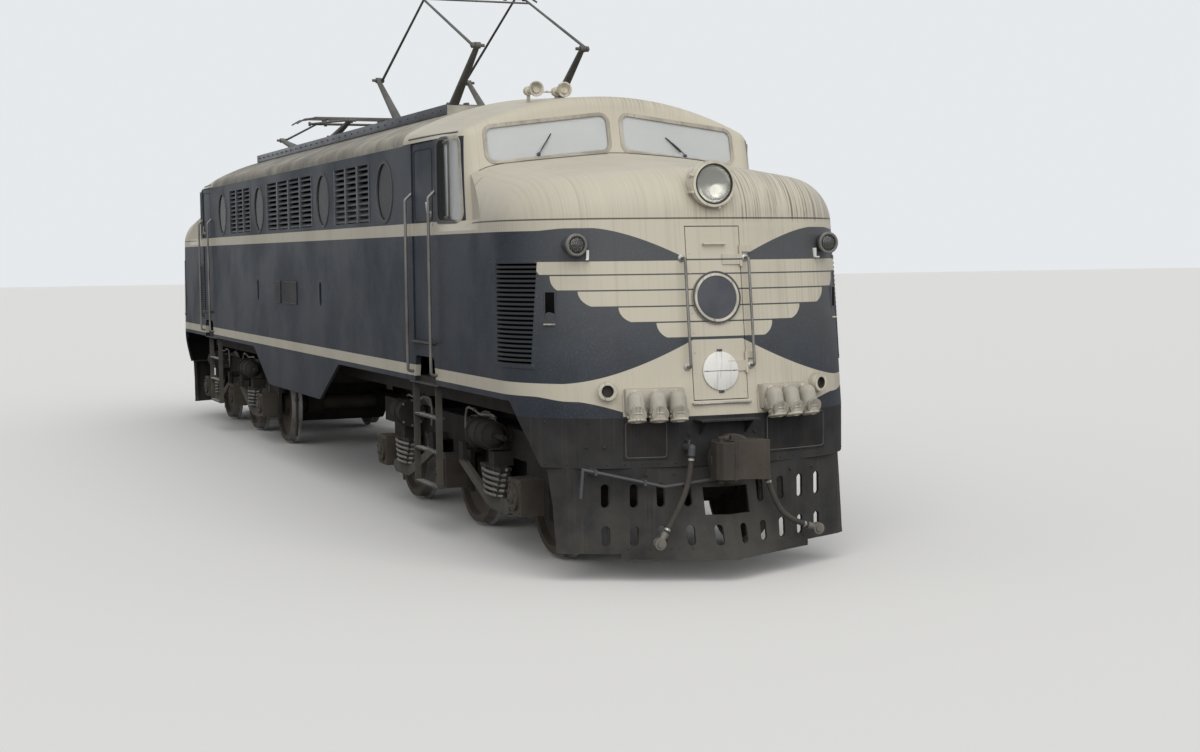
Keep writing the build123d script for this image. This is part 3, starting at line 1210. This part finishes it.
def bent_bar(points, radius, bend):
    """A round bar along straight runs with bends of one radius."""
    path = FilletPolyline(*points, radius=bend)
    return sweep(Plane(origin=path @ 0, z_dir=path % 0) * Circle(radius), path=path)


def door_rails():
    """Grab rails on both jambs of the right front cab door, hooked into the wall at their tops."""
    out = -BODY_HALF_W - RAIL_STANDOFF
    deep = -BODY_HALF_W + 20
    wall = block(DOOR_REAR_X - 200, DOOR_FRONT_X + 200, -BODY_HALF_W, -BODY_HALF_W + 200, BODY_LOW_Z, CANT_Z)
    rails = []
    for x in (DOOR_REAR_X - RAIL_RADIUS - RAIL_CLEAR, DOOR_FRONT_X + RAIL_RADIUS + RAIL_CLEAR):
        points = ((x, deep, RAIL_LOW_Z), (x, out, RAIL_LOW_Z), (x, out, RAIL_TOP_Z - 60), (x, deep, RAIL_TOP_Z + 10))
        rails.append(bent_bar(points, RAIL_RADIUS, 2 * RAIL_RADIUS) - wall)
    return rails


def nose_rail(side):
    """Grab rail beside the nose door."""
    y = side * NOSE_RAIL_Y
    points = []
    for z, order in ((NOSE_RAIL_LOW_Z, 1), (NOSE_RAIL_TOP_Z, -1)):
        x = nose_spot(y, z)[0] + NOSE_RAIL_PROUD
        points += [(x - NOSE_RAIL_PROUD - 15, y, z), (x, y, z)][::order]
    return bent_bar(points, NOSE_RAIL_RADIUS, 2 * NOSE_RAIL_RADIUS) - nose_solid(0)


def ladder():
    """Steps hung below the right front cab door, with the notch's tread and the sill plate."""
    top = BODY_LOW_Z
    low = top - LADDER_RUNGS * LADDER_RUNG_STEP - 12
    stiles = []
    for x in (LADDER_REAR_X, LADDER_FRONT_X):
        stiles.append(block(x - 6, x + 6, -LADDER_Y - 30, -LADDER_Y + 30, low, top))
    rungs = []
    for i in range(1, LADDER_RUNGS + 1):
        z = top - i * LADDER_RUNG_STEP
        rungs.append(block(LADDER_REAR_X, LADDER_FRONT_X, -LADDER_Y - 30, -LADDER_Y + 50, z - 8, z + 8))
    tread = block(LADDER_REAR_X - 20, DOOR_FRONT_X + 30, -BODY_HALF_W + 2, -BODY_HALF_W + 150, top - 14, top)
    return fused([*stiles, *rungs, tread])


def sill_plate():
    """Tread on the outside of the wall under one cab door."""
    return block(DOOR_REAR_X, DOOR_FRONT_X, -BODY_HALF_W - 42, -BODY_HALF_W, DOOR_SILL_Z + 12, DOOR_SILL_Z + 30)


def horn(y):
    """Air horn on the cab roof: trumpet, bell and foot."""
    x = HORN_FACE_X
    z = HORN_Z
    pieces = [rod((x - 180, y, z), (x - 60, y, z), 22, 26), rod((x - 62, y, z), (x, y, z), 26, 66),
              rod((x, y, z), (x + 14, y, z), 68, 68), rod((x - 235, y, z), (x - 178, y, z), 40, 40)]
    feet = fused(pieces) + block(x - 215, x - 195, y - 14, y + 14, z - 200, z)
    bell = rod((x - 10, y, z), (x + 15, y, z), 40, 58)
    return (feet - bell) - cab_solid(0)


def side_plates():
    """Blank number plates on the right side, standing proud of the wall."""
    face = BODY_HALF_W
    plates = []
    for x0, x1 in SIDE_PLATES:
        outline = Pos((x0 + x1) / 2, RAIL_Z + 2080) * RectangleRounded(x1 - x0, 273, 24)
        plane = Plane(origin=(0, -face, 0), x_dir=(1, 0, 0), z_dir=(0, -1, 0))
        plates.append(extrude(plane * outline, amount=PLATE_PROUD))
    return plates


def front_plates():
    """Blank plates on the headstock: class plate right, number plate left."""
    plates = []
    band = headstock_form(-PLATE_PROUD) - headstock_form(0)
    for y0, y1, z0, z1 in FRONT_PLATES:
        plates.append(band & block(NOSE_JOINT_X, NOSE_LOW_X + 100, y0, y1, z0, z1))
    return plates


def angle_cock(points):
    """Pipe from the pilot with an elbow that ends at one hose's upper face, in line with its first run."""
    end = Vector(*points[0])
    elbow = end - (Vector(*points[1]) - end).normalized() * COCK_DROP
    x, y, top = elbow.X, elbow.Y, elbow.Z
    cock = rod((x - 200, y, top), elbow, COCK_RADIUS) + Pos(x, y, top) * Sphere(COCK_RADIUS)
    cock += rod(elbow, end, COCK_RADIUS)
    cock += rod((x - 55, y, top), (x - 55, y, top + 55), 12) + rod((x - 110, y, top + 50), (x - 40, y, top + 50), 8)
    return cock - (headstock_form(0) + pilot_form(0))


def hose(points):
    """Round hose along straight runs joined by tangent arcs; prints its bend radii."""
    radii = []
    for before, here, after in zip(points, points[1:], points[2:]):
        a = Vector(*here) - Vector(*before)
        b = Vector(*after) - Vector(*here)
        half_turn = radians(a.get_angle(b)) / 2
        radii.append(0.45 * min(a.length, b.length) / tan(half_turn))
    path = FilletPolyline(*points, radius=radii)
    tube = sweep(Plane(origin=path @ 0, z_dir=path % 0) * Circle(HOSE_RADIUS), path=path)
    expected = path.length * pi * HOSE_RADIUS ** 2
    print("hose radii", [round(r) for r in radii], "volume ratio", round(tube.volume / expected, 4))
    return tube


def hose_coupling(points):
    """Cast coupling on a hose's lower end: sleeve, throat and round sealing face."""
    tip = Vector(*points[-1])
    way = (tip - Vector(*points[-2])).normalized()
    body = rod(tip, tip + way * 70, HOSE_RADIUS + 8, HOSE_RADIUS + 3)
    hub = tip + way * 95
    body += rod(tip + way * 60, hub, HOSE_RADIUS)
    body += rod(hub - Vector(22, 0, 0), hub + Vector(26, 0, 0), 46)
    body += rod(hub + Vector(20, 0, 0), hub + Vector(38, 0, 0), 26)
    return body


# Cab inside

def desk():
    """Driver's desk across the cab front, standing on the floor, with a raised instrument hood."""
    profile = Polyline((DESK_FRONT_X, FLOOR_Z), (DESK_FRONT_X, FLOOR_Z + 930), (DESK_FRONT_X - 90, FLOOR_Z + 980),
                       (DESK_FRONT_X - 170, FLOOR_Z + 880), (DESK_REAR_X, FLOOR_Z + 820),
                       (DESK_REAR_X, FLOOR_Z + 780), (DESK_REAR_X + 130, FLOOR_Z + 760),
                       (DESK_REAR_X + 130, FLOOR_Z), close=True)
    return extrude(Plane.XZ * make_face(profile), amount=DESK_HALF_W, both=True)


def seat(y):
    """Seat cushion and back on a pedestal."""
    z = FLOOR_Z
    x = SEAT_X
    foot = rod((x, y, z), (x, y, z + 30), 150) + rod((x, y, z + 20), (x, y, z + 420), 55)
    pan = block(x - 200, x + 210, y - 215, y + 215, z + 415, z + 490)
    back = block(x - 250, x - 180, y - 205, y + 205, z + 470, z + 950)
    pan = fillet(pan.edges().filter_by(Axis.Z), 60)
    back = fillet(back.edges().filter_by(Axis.X), 60)
    return fused([foot, pan, back])


# Nodes

side = body_side()
grilles = nose_grille()
left_grille = side_grille()
panels = louvre_panels()
shell = cab_shell()
nose = nose_shell()
glass, rings = portholes()
panes = cab_glass() + glass
seals = cab_seals() + rings
end_pieces = [lamp(y) for lamp in (marker_lamp, tail_socket, jumper_sockets) for y in (1, -1)]
end_pieces.append(release_lever())
lenses = [headlight_lens(), marker_lens(1), marker_lens(-1)]
rails = [*door_rails(), *[mirrored(rail) for rail in door_rails()], nose_rail(1), nose_rail(-1)]
steps = [step for piece in (ladder(), sill_plate()) for step in both_sides(piece)]
horns = [horn(y) for y in HORN_YS]
seats = [seat(y) for y in (SEAT_Y, -SEAT_Y)]


def both_ends(name, shapes):
    """Write one node from pieces of the front end and the same pieces at the rear."""
    save(name, *shapes, *[turned(shape) for shape in shapes])


save("underframe", underframe())
save("side_right", side)
save("side_left", turned(side))
save("roof", roof())
both_ends("side_louvres", panels)
save("cab_front", shell)
save("cab_rear", turned(shell))
save("nose_front", nose)
save("nose_rear", turned(nose))
both_ends("side_grilles", [*both_sides(grilles), left_grille])
save("pilot_front", pilot())
save("pilot_rear", turned(pilot()))
both_ends("couplers", [coupler()])
both_ends("cab_glass", panes)
both_ends("window_seals", seals)
both_ends("lamp_lenses", lenses)
both_ends("headlights", [headlight()])
both_ends("handrails", rails)
both_ends("ladders", steps)
both_ends("horns", horns)
both_ends("cab_desks", [desk()])
both_ends("cab_seats", seats)
save("end_fittings", *end_pieces, *[turned(piece) for piece in end_pieces],
     angle_cock(HOSE_BRAKE), angle_cock(HOSE_MAIN))
save("machinery_block", machinery())
save("blank_plates", *side_plates(), *front_plates())
for name, points in (("brake", HOSE_BRAKE), ("main", HOSE_MAIN)):
    save("hose_" + name, hose(points))
    save("hose_" + name + "_coupling", hose_coupling(points))
for name, y in (("right", -1), ("left", 1)):
    leaf = cab_door(y)
    save("cab_door_front_" + name, leaf)
    # The turned leaf lands on the other side
    save("cab_door_rear_" + ("left" if y < 0 else "right"), turned(leaf))
save("nose_door_front", nose_door(DOOR_DISCS))
save("nose_door_rear", turned(nose_door(())))
for end, name in ((1, "front"), (-1, "rear")):
    save("bogie_frame_" + name, at_bogie(bogie_frame(), end))
    boxes = [Pos(x, 0, 0) * box for x in AXLE_XS for box in both_sides(axle_box())]
    save("axle_boxes_" + name, *[at_bogie(box, end) for box in boxes])
    save("running_gear_" + name, *[at_bogie(piece, end) for piece in running_gear()])
    for i, x in enumerate(AXLE_XS):
        save("wheelset_" + name + "_" + str(i + 1), at_bogie(Pos(x, 0, 0) * wheelset(), end))
posts = [Pos(x, y, 0) * insulator() for x in (INSULATOR_X, -INSULATOR_X) for y in (PAN_BEAM_Y, -PAN_BEAM_Y)]
save("pantograph_bases", *[Pos(x, 0, 0) * pan_base() for x in (PAN_CENTRE_X, -PAN_CENTRE_X)])
save("pan_insulators", *[Pos(x, 0, 0) * post for x in (PAN_CENTRE_X, -PAN_CENTRE_X) for post in posts])
for name, x, angle in (("front", PAN_CENTRE_X, PAN_RAISED), ("rear", -PAN_CENTRE_X, PAN_LOWERED)):
    place = Pos(x, 0, 0)
    low_arm = lower_arm(angle)
    save("pan_" + name + "_lower_arm_a", place * low_arm)
    save("pan_" + name + "_lower_arm_b", place * turned(low_arm))
    save("pan_" + name + "_upper_arm_a", place * upper_arm(angle, PAN_SPREAD, False))
    save("pan_" + name + "_upper_arm_b", place * turned(upper_arm(angle, -PAN_SPREAD, True)))
    save("pan_" + name + "_head", place * pan_head(angle))
